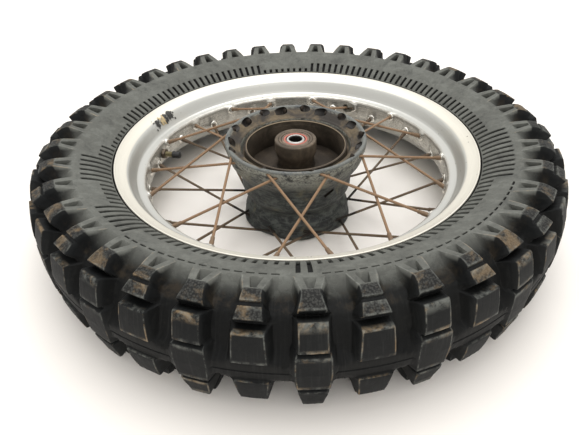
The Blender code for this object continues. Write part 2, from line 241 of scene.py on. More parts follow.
def tyre_material():
    """Worn rubber: a grey dusty sidewall and a black tread with rubbed and dusty edges."""
    p = Paint("tyre_rubber")
    mask = p.node("ShaderNodeAttribute", attribute_name="tyre_mask").outputs["Color"]
    edge, pebble, level = p.node("ShaderNodeSeparateColor", {0: mask}).outputs
    side = p.node("ShaderNodeAttribute", attribute_name="tyre_side").outputs["Fac"]
    radius, height, angle = p.polar()
    streaks = p.vector(p.times(angle, 150), p.times(height, 25), p.times(radius, 25))
    mould = p.noise(1, 3, 0.6, vector=streaks)
    mottle = p.noise(46, 8, 0.78, distortion=0.3)
    blotch = p.noise(60, 7, 0.75)
    broad = p.noise(9, 5, 0.65)
    fine = p.noise(130, 6, 0.7)
    dust = p.noise(34, 7, 0.72, distortion=0.4)
    grain = p.cells(480)
    # the gap floors are darker than the blocks' tops: darker rubber, and partly painted shade in the gaps
    base = p.blend(p.ramp(level, 0.05, 0.95), "080909", "0c0e0f")
    base = p.coat(base, "5d5e59", p.ramp(side, 0.05, 1))
    base = p.coat(base, "4b4b46", p.ramp(broad, 0.42, 0.75), p.plus(0.05, p.times(side, 0.43)))
    base = p.coat(base, "8f8d85", p.ramp(fine, 0.5, 0.8), p.plus(0.03, p.times(side, 0.22)))
    base = p.coat(base, "3b3c3b", p.ramp(blotch, 0.56, 0.7), side, 0.5)
    base = p.coat(base, "6f716f", p.ramp(mould, 0.5, 0.74), 0.04)
    base = p.coat(base, "787a74", p.ramp(mottle, 0.5, 0.6), side, 0.32)
    base = p.coat(base, "3a3b39", p.below(mottle, 0.36, 0.48), side, 0.5)
    muddy = p.times(p.ramp(radius, 0.299, 0.306), p.below(radius, 0.316, 0.32), p.rest(level))
    base = p.coat(base, "3b3328", muddy, p.ramp(dust, 0.45, 0.62), 0.55)
    base = p.coat(base, "5b5b56", pebble, 0.34)
    base = p.coat(base, "131313", pebble, p.ramp(grain, 0.25, 0.7), 0.85)
    dusty = p.math("MAXIMUM", edge, p.times(pebble, 0.55))
    base = p.coat(base, "a58c6a", dusty, p.ramp(dust, 0.49, 0.64), 0.52)
    base = p.coat(base, "83857f", edge, p.ramp(p.plus(fine, p.times(broad, 0.6)), 0.7, 0.98), 0.5)
    grains = p.times(p.rest(grain), p.plus(pebble, 0.04))
    p.bump(p.plus(grains, p.times(mould, 0.35), p.times(fine, 0.3)), 0.6, 0.0009)
    p.shader.inputs["Specular IOR Level"].default_value = 0.18
    return p.finish(base, p.plus(0.5, p.times(fine, 0.3)))


def rim_material():
    """Scuffed aluminium: turned lines, a smoother bowl, and grime on the bed that holds the nipples."""
    p = Paint("rim_aluminium")
    radius, height, angle = p.polar()
    bowl = p.below(radius, 0.2275, 0.2292)
    bed = p.below(p.math("ABSOLUTE", height), 0.0143, 0.0156)
    broad = p.noise(14, 5, 0.6)
    fine = p.noise(210, 6, 0.7)
    around = p.vector(p.times(angle, 0.35), p.times(radius, 60), p.times(height, 60))
    lines = p.noise(26, 5, 0.75, vector=around)
    grime = p.times(bed, p.ramp(p.noise(70, 7, 0.72, distortion=0.6), 0.42, 0.62))
    specks = p.below(p.cells(95), 0.05, 0.11)
    base = p.blend(bowl, "dfdbcf", "c3c3be")
    base = p.coat(base, "bdbbb2", p.ramp(lines, 0.35, 0.75), 0.22)
    base = p.coat(base, "c9c3b3", p.ramp(broad, 0.55, 0.8), 0.3)
    base = p.coat(base, "b5b0a5", bed, 0.5)
    base = p.coat(base, "7a6e5d", grime, 0.34)
    base = p.coat(base, "6d6455", specks, p.ramp(broad, 0.5, 0.62))
    p.bump(p.plus(p.times(lines, 0.5), p.times(fine, 0.4)), 0.12, 0.0003)
    rough = p.plus(0.42, p.times(lines, 0.16), p.times(bowl, -0.16), p.times(bed, -0.06))
    return p.finish(base, rough, p.plus(0.6, p.times(bowl, 0.15), p.times(grime, -0.2)))


def rusty_material(name, steel, rust, dark, share):
    """Plated steel that rust covers in a share of its length, and near-black painted shade next to the hub,
    where the spoke heads sit in its pockets.
    """
    p = Paint(name)
    spots = p.noise(60, 7, 0.7, distortion=0.5)
    fine = p.noise(700, 6, 0.75)
    broad = p.noise(16, 4, 0.6)
    from_axle, _, _ = p.polar(p.world_place())
    amount = p.ramp(p.plus(spots, p.times(broad, 0.4)), 0.75 - share * 0.5, 0.95 - share * 0.5)
    base = p.blend(amount, steel, rust)
    base = p.coat(base, dark, p.ramp(fine, 0.45, 0.7), 0.55)
    # near-black within about 94 mm of the axle: painted shade on the spoke heads in the hub's pockets
    base = p.coat(base, "1d1813", p.below(from_axle, 0.0935, 0.0985), 0.94)
    p.bump(p.plus(fine, p.times(spots, 0.6)), 0.45, 0.0003)
    return p.finish(base, p.plus(0.42, p.times(amount, 0.35)), p.plus(0.45, p.times(amount, -0.4)))


def hub_material():
    """Scuffed black paint outside, caked dirt inside the flange, and bare iron in the drum."""
    p = Paint("hub_paint")
    radius, height, angle = p.polar()
    around = p.vector(p.times(angle, 0.09), radius, p.times(height, 2.2))
    scuffs = p.noise(60, 8, 0.75, vector=around, distortion=0.3)
    ridges = p.noise(30, 4, 0.7, vector=p.vector(z=p.times(height, 14)))
    broad = p.noise(24, 6, 0.65, distortion=0.5)
    fine = p.noise(320, 7, 0.75)
    upper = p.ramp(height, 0.012, 0.046)
    inside = p.times(p.ramp(radius, 0.064, 0.066), p.below(radius, 0.088, 0.0925))
    inside = p.times(inside, p.ramp(height, 0.0385, 0.0395))
    drum = p.times(p.below(radius, 0.0735, 0.075), p.ramp(height, -0.002, 0.002))
    lip = p.times(p.ramp(height, 0.0488, 0.05), p.ramp(radius, 0.0905, 0.0912))
    paint = p.blend(p.ramp(scuffs, 0.42, 0.62), "1a1d1e", "50544f")
    paint = p.coat(paint, "565a58", p.ramp(ridges, 0.5, 0.6), 0.3)
    paint = p.coat(paint, "6f6850", p.ramp(broad, 0.52, 0.68), 0.75)
    paint = p.coat(paint, "94948a", upper, p.ramp(scuffs, 0.38, 0.52))
    paint = p.coat(paint, "1f2224", upper, p.ramp(fine, 0.48, 0.6), 0.75)
    dirt = p.blend(p.ramp(broad, 0.42, 0.66), "2a241d", "665841")
    dirt = p.coat(dirt, "27211b", p.ramp(fine, 0.45, 0.68), 0.6)
    iron = p.blend(p.ramp(broad, 0.35, 0.7), "4f463b", "7c6d5b")
    iron = p.coat(iron, "372f27", p.ramp(fine, 0.45, 0.72), 0.45)
    iron = p.coat(iron, "1c1713", drum, p.below(height, 0.006, 0.026), 0.72)
    base = p.mix(inside, paint, dirt)
    # darker towards the bottom, next to the floor: painted shade under the hub
    base = p.coat(base, "15181a", p.below(height, -0.069, -0.045), 0.35)
    base = p.mix(drum, base, iron)
    base = p.coat(base, "4d5254", lip, 0.75)
    base = p.coat(base, "8e8c80", lip, p.ramp(fine, 0.46, 0.62), 0.5)
    p.bump(p.plus(p.times(fine, 0.6), scuffs, ridges), 0.55, 0.0009)
    return p.finish(base, p.plus(0.4, p.times(scuffs, 0.35)), p.plus(0.12, p.times(drum, 0.35)))


def iron_material():
    """Turned iron, darker towards the bottom of the drum, with a pale inner edge."""
    p = Paint("drum_iron")
    radius, height, _ = p.polar()
    lines = p.noise(34, 4, 0.7, vector=p.vector(z=p.times(height, 40)))
    broad = p.noise(30, 6, 0.65, distortion=0.5)
    inner_edge = p.times(p.ramp(height, 0.0386, 0.0391), p.below(radius, 0.0683, 0.0688))
    base = p.blend(p.ramp(broad, 0.35, 0.7), "4d463d", "776c5e")
    base = p.coat(base, "2f2a26", p.ramp(lines, 0.45, 0.65), 0.35)
    base = p.coat(base, "30271e", p.ramp(height, 0.0376, 0.0382), 0.75)
    base = p.coat(base, "9a8a72", inner_edge, 0.8)
    base = p.coat(base, "1d1915", p.below(height, 0.004, 0.03), 0.5)
    p.bump(lines, 0.25, 0.0004)
    return p.finish(base, p.plus(0.38, p.times(broad, 0.25)), 0.65)


def steel_material(name, colour, dull):
    """Plain steel, brass or aluminium with stains."""
    p = Paint(name)
    fine = p.noise(420, 6, 0.7)
    broad = p.noise(70, 5, 0.6)
    base = p.mix(p.times(p.ramp(broad, 0.45, 0.7), 0.4), srgb(colour), srgb("8c7a65"))
    base = p.coat(base, "5c574f", p.ramp(fine, 0.5, 0.75), 0.35)
    p.bump(fine, 0.12, 0.0002)
    return p.finish(base, p.plus(dull, p.times(fine, 0.2)), 0.9)


def seal_material():
    """A rubber shield: red towards the inner race, with caked dust outside."""
    p = Paint("bearing_seal_rubber")
    radius, _, _ = p.polar()
    fine = p.noise(500, 6, 0.7)
    broad = p.noise(120, 5, 0.65)
    red = p.blend(p.ramp(fine, 0.35, 0.7), "a84a3a", "a86a5c")
    dusty = p.blend(p.ramp(broad, 0.4, 0.65), "5a4b3e", "7d6a59")
    base = p.mix(p.ramp(radius, 0.016, 0.0166), red, dusty)
    base = p.coat(base, "84705f", p.ramp(broad, 0.55, 0.7), 0.5)
    p.bump(fine, 0.3, 0.0003)
    return p.finish(base, 0.55)


def race_material():
    """Ground steel, with its bore painted near-black as shade in the hole."""
    p = Paint("race_steel")
    radius, _, _ = p.polar()
    fine = p.noise(420, 6, 0.7)
    outside_bore = p.ramp(radius, 0.0094, 0.0099)
    base = p.blend(p.ramp(fine, 0.4, 0.7), "c4c3bf", "a3a19b")
    # near-black and not metallic inside the bore: painted shade in the hole
    base = p.coat(base, "171412", p.rest(outside_bore))
    p.bump(fine, 0.12, 0.0002)
    return p.finish(base, p.plus(0.3, p.times(fine, 0.2)), p.times(outside_bore, 0.8))


def rubber_material(name, colour, light):
    p = Paint(name)
    fine = p.noise(260, 6, 0.7)
    broad = p.noise(30, 5, 0.6)
    base = p.mix(p.times(p.ramp(broad, 0.35, 0.7), 0.6), srgb(colour), srgb(light))
    p.bump(fine, 0.25, 0.0004)
    return p.finish(base, p.plus(0.45, p.times(fine, 0.3)))


def sticker_material():
    """Torn foil: black print with a tarnished gold patch."""
    p = Paint("torn_sticker")
    _, _, angle = p.polar()
    ragged = p.times(p.plus(p.noise(90, 3, 0.5), -0.5), 0.05)
    from_patch = p.plus(p.math("ABSOLUTE", p.math("SUBTRACT", angle, GOLD_PATCH_ANGLE)), ragged)
    gold = p.below(from_patch, 0.02, 0.026)
    fine = p.noise(800, 6, 0.7)
    base = p.blend(gold, "2c2b29", "c8b48c")
    base = p.coat(base, "6d6659", p.ramp(fine, 0.5, 0.7), 0.5)
    p.bump(fine, 0.3, 0.0002)
    return p.finish(base, 0.5, p.times(gold, 0.5))


def floor_material():
    p = Paint("floor_paper")
    broad = p.noise(0.8, 2, 0.4)
    fine = p.noise(240, 5, 0.6)
    base = p.blend(p.ramp(broad, 0.1, 0.9), "f8f4ee", "f5f0ea")
    p.bump(fine, 0.05, 0.0003)
    return p.finish(base, 0.6)


# ---- mesh helpers

def new_mesh(name, points, faces, finish, crease=40):
    mesh = bpy.data.meshes.new(name)
    mesh.from_pydata([tuple(v) for v in points], [], faces)
    mesh.update()
    mesh.shade_smooth()
    mesh.set_sharp_from_angle(angle=math.radians(crease))
    mesh.materials.append(finish)
    return mesh


def mesh_of(name, bm, finish):
    """A mesh made from a bmesh, which is freed."""
    mesh = bpy.data.meshes.new(name)
    bm.to_mesh(mesh)
    bm.free()
    mesh.materials.append(finish)
    return mesh


def mesh_object(name, points, faces, finish, crease=40):
    return add_object(name, new_mesh(name, points, faces, finish, crease))


def place(obj, body, slot, *nodes):
    """Rides a piece on its body, and lets it stand for the CAD nodes it shows."""
    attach(obj, body)
    if nodes:
        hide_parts(*nodes)


def face_out(obj):
    """Turns every face of a closed mesh outwards."""
    bm = bmesh.new()
    bm.from_mesh(obj.data)
    bmesh.ops.recalc_face_normals(bm, faces=bm.faces)
    bm.to_mesh(obj.data)
    bm.free()


def grid_faces(rows, columns, wrap_rows=True, wrap_columns=True):
    """Quads over a grid of points stored row by row."""
    i = np.arange(rows if wrap_rows else rows - 1)
    j = np.arange(columns if wrap_columns else columns - 1)
    i, j = np.meshgrid(i, j, indexing="ij")
    up, along = (i + 1) % rows, (j + 1) % columns
    quads = np.stack([i * columns + j, i * columns + along, up * columns + along, up * columns + j], -1)
    return quads.reshape(-1, 4)


def capped_faces(rows, sides):
    """Faces over a stack of rings, with a flat cap at each end."""
    faces = grid_faces(rows, sides, wrap_rows=False).tolist()
    faces.append(list(range(sides))[::-1])
    faces.append([(rows - 1) * sides + i for i in range(sides)])
    return faces


def fillet(outline, radius, steps=4):
    """A closed outline with each corner rounded by an arc that fits its two sides."""
    rounded = []
    count = len(outline)
    for i, corner in enumerate(outline):
        here = np.array(corner, float)
        before = np.array(outline[i - 1], float) - here
        after = np.array(outline[(i + 1) % count], float) - here
        size = min(radius, 0.45 * np.linalg.norm(before), 0.45 * np.linalg.norm(after))
        first = here + before / np.linalg.norm(before) * size
        last = here + after / np.linalg.norm(after) * size
        for step in range(steps + 1):
            t = step / steps
            rounded.append((1 - t) ** 2 * first + 2 * t * (1 - t) * here + t * t * last)
    return rounded


def full_turn(sides):
    return np.arange(sides) * TAU / sides


def ring(radius, angles, height):
    """Points round the axle at one height; the radius may be a number or one for each angle."""
    return np.stack([radius * np.cos(angles), radius * np.sin(angles), np.full_like(angles, height)], -1)


def turned_points(outline, segments, start=0):
    """A grid of points, row by row, from an outline of (radius, height) turned about the axle."""
    angles = start + full_turn(segments)
    return np.array([ring(radius, angles, height) for radius, height in outline])


def turned_grid(outline, segments):
    """The turned points with each one's radius and angle."""
    points = turned_points(outline, segments)
    return points, np.hypot(points[..., 0], points[..., 1]), np.arctan2(points[..., 1], points[..., 0])


def outward(outline):
    """The outline ordered so that a ring turned from it faces out."""
    pts = np.array(outline, float)
    r, z = pts[:, 0], pts[:, 1]
    area = 0.5 * np.sum(r * np.roll(z, -1) - np.roll(r, -1) * z)
    return pts if area < 0 else pts[::-1]


def turned(name, outline, segments, finish, rounding=0.5, steps=3, crease=40):
    """A ring turned about the axle from a closed outline of (radius, height) in millimetres."""
    path = outward(fillet(outline, rounding, steps) if rounding else outline)
    pts = turned_points(path, segments) * MM
    return mesh_object(name, pts.reshape(-1, 3), grid_faces(len(path), segments).tolist(), finish, crease)


def mirrored(half):
    return half + [(r, -z) for r, z in reversed(half)]


def rod_mesh(name, stations, sides, finish):
    """A solid of revolution about its own Z axis, from (radius, distance) stations, with flat ends."""
    points = turned_points(stations, sides).reshape(-1, 3) * MM
    return new_mesh(name, points, capped_faces(len(stations), sides), finish)


def aim(origin, direction):
    """A matrix that puts a rod's own Z axis along a direction."""
    return Matrix.Translation(origin) @ Vector(direction).to_track_quat("Z", "Y").to_matrix().to_4x4()


def polar(radius, angle, height):
    return Vector((radius * math.cos(angle), radius * math.sin(angle), height)) * MM


# ---- tyre

# keys of the cross-section, from the sidewall (100) to the middle of the tread (0): (key, radius, height)
CROWN = [
    (100, 288, 64.2), (96, 292, 65.3), (90, 298, 67), (82, 306, 69.1), (76, 312, 69.8),
    (70, 319, 68.2), (58, 337, 58), (46, 342, 46), (33, 345.3, 33), (20, 347.2, 20), (0, 348, 0),
]
GROOVE = [
    (100, 288, 64.1), (98.6, 289.8, 63.6), (96, 293, 61.6), (90, 299.5, 57.2), (82, 306.5, 53.4),
    (76, 311, 51.4), (70, 315, 49.8), (58, 319.8, 47.2), (46, 324.2, 41.5), (33, 329, 31),
    (20, 333.5, 20), (15.5, 337, 15), (12.4, 344.4, 12.4), (9, 345.3, 9), (0, 345.4, 0),
]
SIDEWALL = [
    (245.6, 44.4), (250, 47.9), (256, 51.6), (262, 54.9), (270, 58.6), (278, 61.6), (284, 63.2),
    (288, 64.1),
]
# half-width of a block's top at a key, in a column with long shoulders and in one with short ones
LONG_WIDTH = [
    (100, 14.2), (96, 13.4), (90, 12.2), (84, 10.6), (79, 9), (76, 8.7), (70, 9.4), (64, 11.2), (58, 13.3),
    (52, 14.2), (46, 14.8), (33, 15.6), (14, 16.6), (0, 16.6),
]
SHORT_WIDTH = [
    (100, 14.2), (96, 13.4), (90, 12.2), (84, 10.6), (79, 9.2), (76, 9), (70, 9.9), (64, 12.9), (58, 13.1),
    (40, 13.2), (28, 13.8), (22, 16.6), (0, 17.2),
]
LOWER_SHORT_WIDTH = [(100, 12), (76, 9), (66, 9.8), (58, 9.6), (40, 12.6), (26, 14.5), (22, 15.4), (0, 17.2)]
LOWER_LONG_WIDTH = [(100, 12), (76, 9), (62, 11), (45, 13.4), (30, 14.8), (14, 16.4), (0, 16.6)]
RECESS_WIDTH = [(100, 6.8), (81, 2.6)]
RECESS_END = 80.9
STATIONS = 24
PARTING_DEPTH = 0.9

# rows from the sidewall to the middle: (key and level in a long column, key and level in a short one)
LEGS = [(key, 1, key, 1) for key in (100, 99.4, 98.6, 97, 94.5, 91.5, 88.5, 85.5, 83, 81.5, 80.8)]
SHOULDER = [
    (78, 1, 78.5, 1), (74, 1, 76, 1), (70.5, 1, 74, 1), (68.9, 1, 72.5, 1),
    (68.4, 0.86, 71, 1), (66.4, 0.86, 69.5, 1), (65.8, 1, 68, 1), (63, 1, 67, 1),
    (60.5, 1, 66, 1), (59.2, 1, 64.7, 1),
]
NOTCH = [
    (58.6, 0.96, 64, 0.96), (55.4, 0.58, 62.5, 0.58), (51.8, 0.2, 61, 0.18), (48.9, 0.2, 60, 0.18),
    (47.7, 0.6, 59.2, 0.56), (46.7, 0.95, 58.3, 0.86),
]
BLOCKS = [
    (46.1, 1, 57.6, 0.95), (44.8, 1, 55.8, 1), (38, 1, 48, 1), (31, 1, 40, 1),
    (24, 1, 33, 1), (18, 1, 28.7, 1), (14.4, 1, 27.8, 0.95), (13.6, 0.95, 26.8, 0.62),
    (12.8, 0.4, 24.2, 0.62), (11.8, 0, 23, 0.94), (10, 0, 22.1, 1), (7.5, 0, 17, 1),
    (4.5, 0, 10, 1), (1.3, 0, 1.3, 1), (0.6, 0, 0.6, 1),
]
CROSS_ROWS = LEGS + SHOULDER + NOTCH + BLOCKS
# rows whose edges are rubbed pale, and rows on the inner edge of a block, which never are
WORN_KEYS = (68.9, 65.8, 59.2, 46.1, 64.7, 57.6, 55.8, 28.7, 22.1, 14.4)
WORN_LEVEL = 0.95
INNER_EDGES = (13.6, 27.8)
# the lower shoulders, which the wheel lies on: upper key and lower key in a long column
LOWER_LONG = [(0, 0), (46, 45), (58, 60.5), (100, 100)]
LOWER_LONG_DROP = 2.6
LOWER_SHORT_RISE = 2.4
SHOULDER_CORNER = 59
# how far a station follows its own column's key, counted from the gap between two columns
OWN_SHARE = (0, 0.5, 0.85, 1)

Block = namedtuple("Block", "key raised widths rise")


def along(table, key):
    """Every other value of a table at a key, whose keys fall from row to row."""
    keys = [row[0] for row in table][::-1]
    return [np.interp(key, keys, [row[c] for row in table][::-1]) for c in range(1, len(table[0]))]


def section(table, key, rise=0):
    """A point of the cross-section; the lower shoulder's corner stands out by a rise."""
    radius, height = along(table, abs(key))
    if key < 0 and table is CROWN:
        radius += rise * math.exp(-((key + SHOULDER_CORNER) / 7) ** 2)
    return np.array([radius, math.copysign(height, key) if key else 0])


def station_layout(block, pitch_half):
    """The places along the tread of a column's stations in one row, and each one's level above the groove."""
    half = along(block.widths, block.key)[0]
    draft = 4.6 if block.key < 90 else 0.6 + (100 - block.key) * 0.4
    foot = min(half + draft, pitch_half - 2)
    places = [pitch_half, 0.5 * (pitch_half + foot), foot + 0.8, foot, half + 0.4 * (foot - half), half + 0.3,
              half - 0.6, half - 1.7]
    levels = [0, 0, 0.012, 0.06, 0.62, 0.955, 1, 1]
    if block.key > RECESS_END - 0.5:
        gap = along(RECESS_WIDTH, block.key)[0]
        bottom = np.interp(block.key, [82, 96], [0.42, 0.1])
        recessed = RECESS_END < block.key < 99
        places += [gap + 0.7, gap + 0.1, gap - 0.7, gap * 0.5, 0]
        levels += [1, 0.97, bottom + 0.06, bottom, bottom] if recessed else [1] * 5
    else:
        places += [(half - 1.7) * share for share in (0.8, 0.6, 0.4, 0.2, 0)]
        levels += [1] * 5
    levels = [level * block.raised for level in levels]
    places = [-p for p in places] + places[-2:0:-1]
    return places, levels + levels[-2:0:-1]


def station_mask(block, here, level, from_gap):
    """How rubbed, pebbled, raised and grey like the sidewall a station is."""
    key = block.key
    lip = key < 80 and key not in INNER_EDGES and (block.raised == WORN_LEVEL or key in WORN_KEYS)
    worn = level > 0.9 and (from_gap == 6 or (from_gap > 5 and lip))
    pebble = 58.8 < key < 80.5 and level > 0.97 and from_gap > 6
    on_leg = key > RECESS_END - 0.5 and level > 0.9
    grey = 1 if on_leg else 0.8 * np.clip((abs(here) - 78) / 20, 0, 1)
    return float(worn), float(pebble), level, grey


def tread_profile(block, shared, side):
    """Stations across one column: (radius, angle from the column's middle, height), and their masks."""
    radius = section(CROWN, block.key)[0]
    points, mask = [], []
    for j, (x, level) in enumerate(zip(*station_layout(block, radius * PITCH / 2))):
        from_gap = min(j, STATIONS - j)
        here = (shared + (block.key - shared) * OWN_SHARE[min(from_gap, 3)]) * side
        point = section(GROOVE, here) * (1 - level) + section(CROWN, here, block.rise) * level
        if abs(here) < 0.7 and level < 0.5:
            point[0] -= PARTING_DEPTH
        points.append((point[0], x / radius, point[1]))
        mask.append(station_mask(block, here, level, from_gap))
    return np.array(points), np.array(mask)


def tread_row(row, side):
    """One ring across all columns, on the upper side (1) or the lower (-1) of the wheel."""
    key_long, raised_long, key_short, raised_short = row
    long_widths, short_widths = (LONG_WIDTH, SHORT_WIDTH)
    if side < 0:
        key_long = np.interp(key_long, *zip(*LOWER_LONG))
        long_widths, short_widths = (LOWER_LONG_WIDTH, LOWER_SHORT_WIDTH)
    blocks = (
        Block(key_short, raised_short, short_widths, LOWER_SHORT_RISE),
        Block(key_long, raised_long, long_widths, -LOWER_LONG_DROP),
    )
    profiles = [tread_profile(block, 0.5 * (key_long + key_short), side) for block in blocks]
    points, masks = [], []
    for column in range(COLUMNS):
        profile, mask = profiles[column % 2]
        points.append(profile + (0, FIRST_COLUMN + PITCH * column, 0))
        masks.append(mask)
    return np.vstack(points), np.vstack(masks)


LONG_RIBS = [(191, 206), (216, 232), (268, 273.5), (332, 358)]
SHORT_RIBS = [(85, 103), (167, 183)]
CLEAR_DASHES = (228, 342)
SLOT_PHASE = -0.35
DASH_PHASE = -0.13
SLOT_HALF = 0.17
DASH_HALF = 0.3
SLOT_EDGE = 0.05
SHORT_SLOT_END = 251
# sidewall rows: (radius, depth of a slot, of a long slot, of the dashed ring), from the rim outwards
SIDE_ROWS = [
    (245.6, 0, 0, 0), (246, 0, 0, 0), (246.3, 3.6, 3.6, 0), (250.7, 3.8, 3.6, 0), (251.4, 3.7, 3.5, 0),
    (257.5, 3.2, 3.2, 0), (260.3, 2.8, 3, 0), (260.9, 0, 3, 0), (264, 0, 2.8, 0), (268.5, 0, 2.5, 0),
    (273, 0, 2.2, 0), (277.5, 0, 1.8, 0), (280.4, 0, 0, 0), (281.5, 0, 0, 0), (281.8, 0, 0, 1.7),
    (283.9, 0, 0, 1.7), (284.2, 0, 0, 0), (286.2, 0, 0, 0),
]
BEAD = [
    (244.9, 43), (244.6, 40.6), (240, 37.4), (234, 33.6), (231, 31), (230.7, 25), (230.9, 19),
    (236, 19.6), (246, 33), (258, 45), (274, 51), (292, 51.5), (306, 46), (315, 34),
    (321, 14),
]


def in_any(angle, stretches):
    degrees = math.degrees(angle) % 360
    return any(low <= degrees <= high for low, high in stretches)


def side_depth(angle, radius, depths):
    """How deep the sidewall's slots are cut at an angle."""
    slot, long_slot, dash = depths
    if dash:
        return dash if in_any(angle, [CLEAR_DASHES]) and not in_any(angle, LONG_RIBS) else 0
    if in_any(angle, SHORT_RIBS) and radius > SHORT_SLOT_END:
        return 0
    return long_slot if in_any(angle, LONG_RIBS) else slot


def side_row(radius, depths, side):
    """One ring of the sidewall with its slots: (radius, angle, height) and how deep each point is sunk."""
    height = np.interp(radius, [r for r, _ in SIDEWALL], [z for _, z in SIDEWALL])
    pitch = PITCH / SLOTS_PER_COLUMN
    phase, half = (DASH_PHASE, DASH_HALF) if depths[2] else (SLOT_PHASE, SLOT_HALF)
    outer = half + SLOT_EDGE
    places = (-0.5, -outer, -half, half, outer, 0.5 * (0.5 + outer))
    row, sinks = [], []
    for slot in range(COLUMNS * SLOTS_PER_COLUMN):
        middle = FIRST_COLUMN - 0.5 * PITCH + (slot + 0.5 + phase) * pitch
        depth = side_depth(middle, radius, depths)
        for x in places:
            sunk = depth if abs(x) == half else 0
            row.append((radius + sunk * 0.5, middle + x * pitch, (height - sunk * 0.85) * side))
            sinks.append(sunk)
    return np.array(row), np.array(sinks)


def side_mask(sinks):
    """The sidewall's masks: no rubbed edge or pebbles, and darker towards a slot's bottom."""
    shown = np.clip(1 - sinks / 1.2, 0, 1)
    return np.column_stack([np.zeros_like(sinks), np.zeros_like(sinks), shown * 0.8, shown])


def tyre_rings():
    """Every ring of the tyre, from the upper rim edge over the tread and back through the cavity."""
    rings, masks = [], []
    for side in (1, -1):
        flank = [side_row(r, depths, side) for r, *depths in SIDE_ROWS]
        tread = [tread_row(row, side) for row in CROSS_ROWS]
        part = [(ring, side_mask(sinks)) for ring, sinks in flank] + tread
        for ring, mask in part if side > 0 else part[::-1]:
            rings.append(ring)
            masks.append(mask)
    angles = rings[0][:, 1]
    inner = [(r, -z) for r, z in BEAD] + [(r, z) for r, z in reversed(BEAD)]
    for radius, height in inner:
        rings.append(np.stack([np.full_like(angles, radius), angles, np.full_like(angles, height)], -1))
        masks.append(np.zeros((len(angles), 4)))
    rings, masks = np.array(rings), np.array(masks)
    rng = np.random.default_rng(7)
    rings[:, :, 0] += np.clip(rng.normal(0, 0.07, rings.shape[:2]), -0.2, 0.1)
    return rings, masks


def tyre(finish):
    rings, masks = tyre_rings()
    radius, angle, height = rings[..., 0], rings[..., 1], rings[..., 2]
    points = np.stack([radius * np.cos(angle), radius * np.sin(angle), height], -1) * MM
    faces = grid_faces(*rings.shape[:2])[:, ::-1]
    obj = mesh_object("knobbly_tyre", points.reshape(-1, 3), faces.tolist(), finish, 42)
    flat = masks.reshape(-1, 4)
    colour = obj.data.color_attributes.new("tyre_mask", "FLOAT_COLOR", "POINT")
    rgba = np.column_stack([flat[:, :3], np.ones(len(flat))])
    colour.data.foreach_set("color", rgba.astype(np.float32).ravel())
    side = obj.data.attributes.new("tyre_side", "FLOAT", "POINT")
    side.data.foreach_set("value", flat[:, 3].astype(np.float32))
    place(obj, "wheel", "tyre", "tyre")


# ---- rim, spokes and what is on them

def spoke_line(flange, pair, way):
    """A spoke's end at the rim, its direction, and how far along it the hub's seat is."""
    step = way * CROSSING_OFFSET
    angle = flange.first_angle + TAU * pair / SPOKE_PAIRS
    crossing = spoke_crossing(flange, pair, way)
    end = polar(NIPPLE_END_RADIUS, angle + way * SPOKE_SWEEP, flange.sign * RIM_HOLE_HEIGHT + step)
    direction = (crossing - end).normalized()
    flat = Vector((direction.x, direction.y))
    start = Vector((end.x, end.y))
    half = start.dot(flat) / flat.length_squared
    depth = (start.length_squared - (flange.seat_radius * MM) ** 2) / flat.length_squared
    near = -half - math.sqrt(half * half - depth)
    return end, direction, near / MM


def spoke_crossing(flange, pair, way):
    """Where a spoke passes its partner, just outside the hub."""
    height = flange.sign * flange.crossing_height + way * CROSSING_OFFSET
    return polar(flange.crossing_radius, flange.first_angle + TAU * pair / SPOKE_PAIRS, height)


def every_spoke():
    for side, flange in (("brake", BRAKE_FLANGE), ("sprocket", SPROCKET_FLANGE)):
        for pair in range(SPOKE_PAIRS):
            for way in (-1, 1):
                number = 2 * pair + (1 if way < 0 else 2)
                yield f"{side}_spoke_{number:02d}", flange, pair, way


RIM_HALF = [
    (BED_RADIUS, 9), (207.8, 13.2), (209.6, 15), (215.6, 16.2), (218.6, 17.4), (220.4, 20.5), (222.4, 25),
    (224.8, 30.5), (226.6, 33.8), (229.2, 36), (236, 39.7), (240.6, 42.8), (241.8, 44.1), (243.2, 43.8),
    (243.5, 42.2), (242.2, 40.6), (230.4, 33.2), (229, 31), (228.4, 18), (225, 16.2), (215.8, 12.6),
    (212.4, 10),
]
RIM_SEGMENTS = 720
SEAT_RADIUS = 9
SEAT_HEIGHT = 2.8
BOSS_DOME = [(7.6, 0.4), (7.4, 2.6), (6.7, 4), (5.6, 4.9), (4.4, 5.2), (3.3, 4.8), (3.3, 2)]


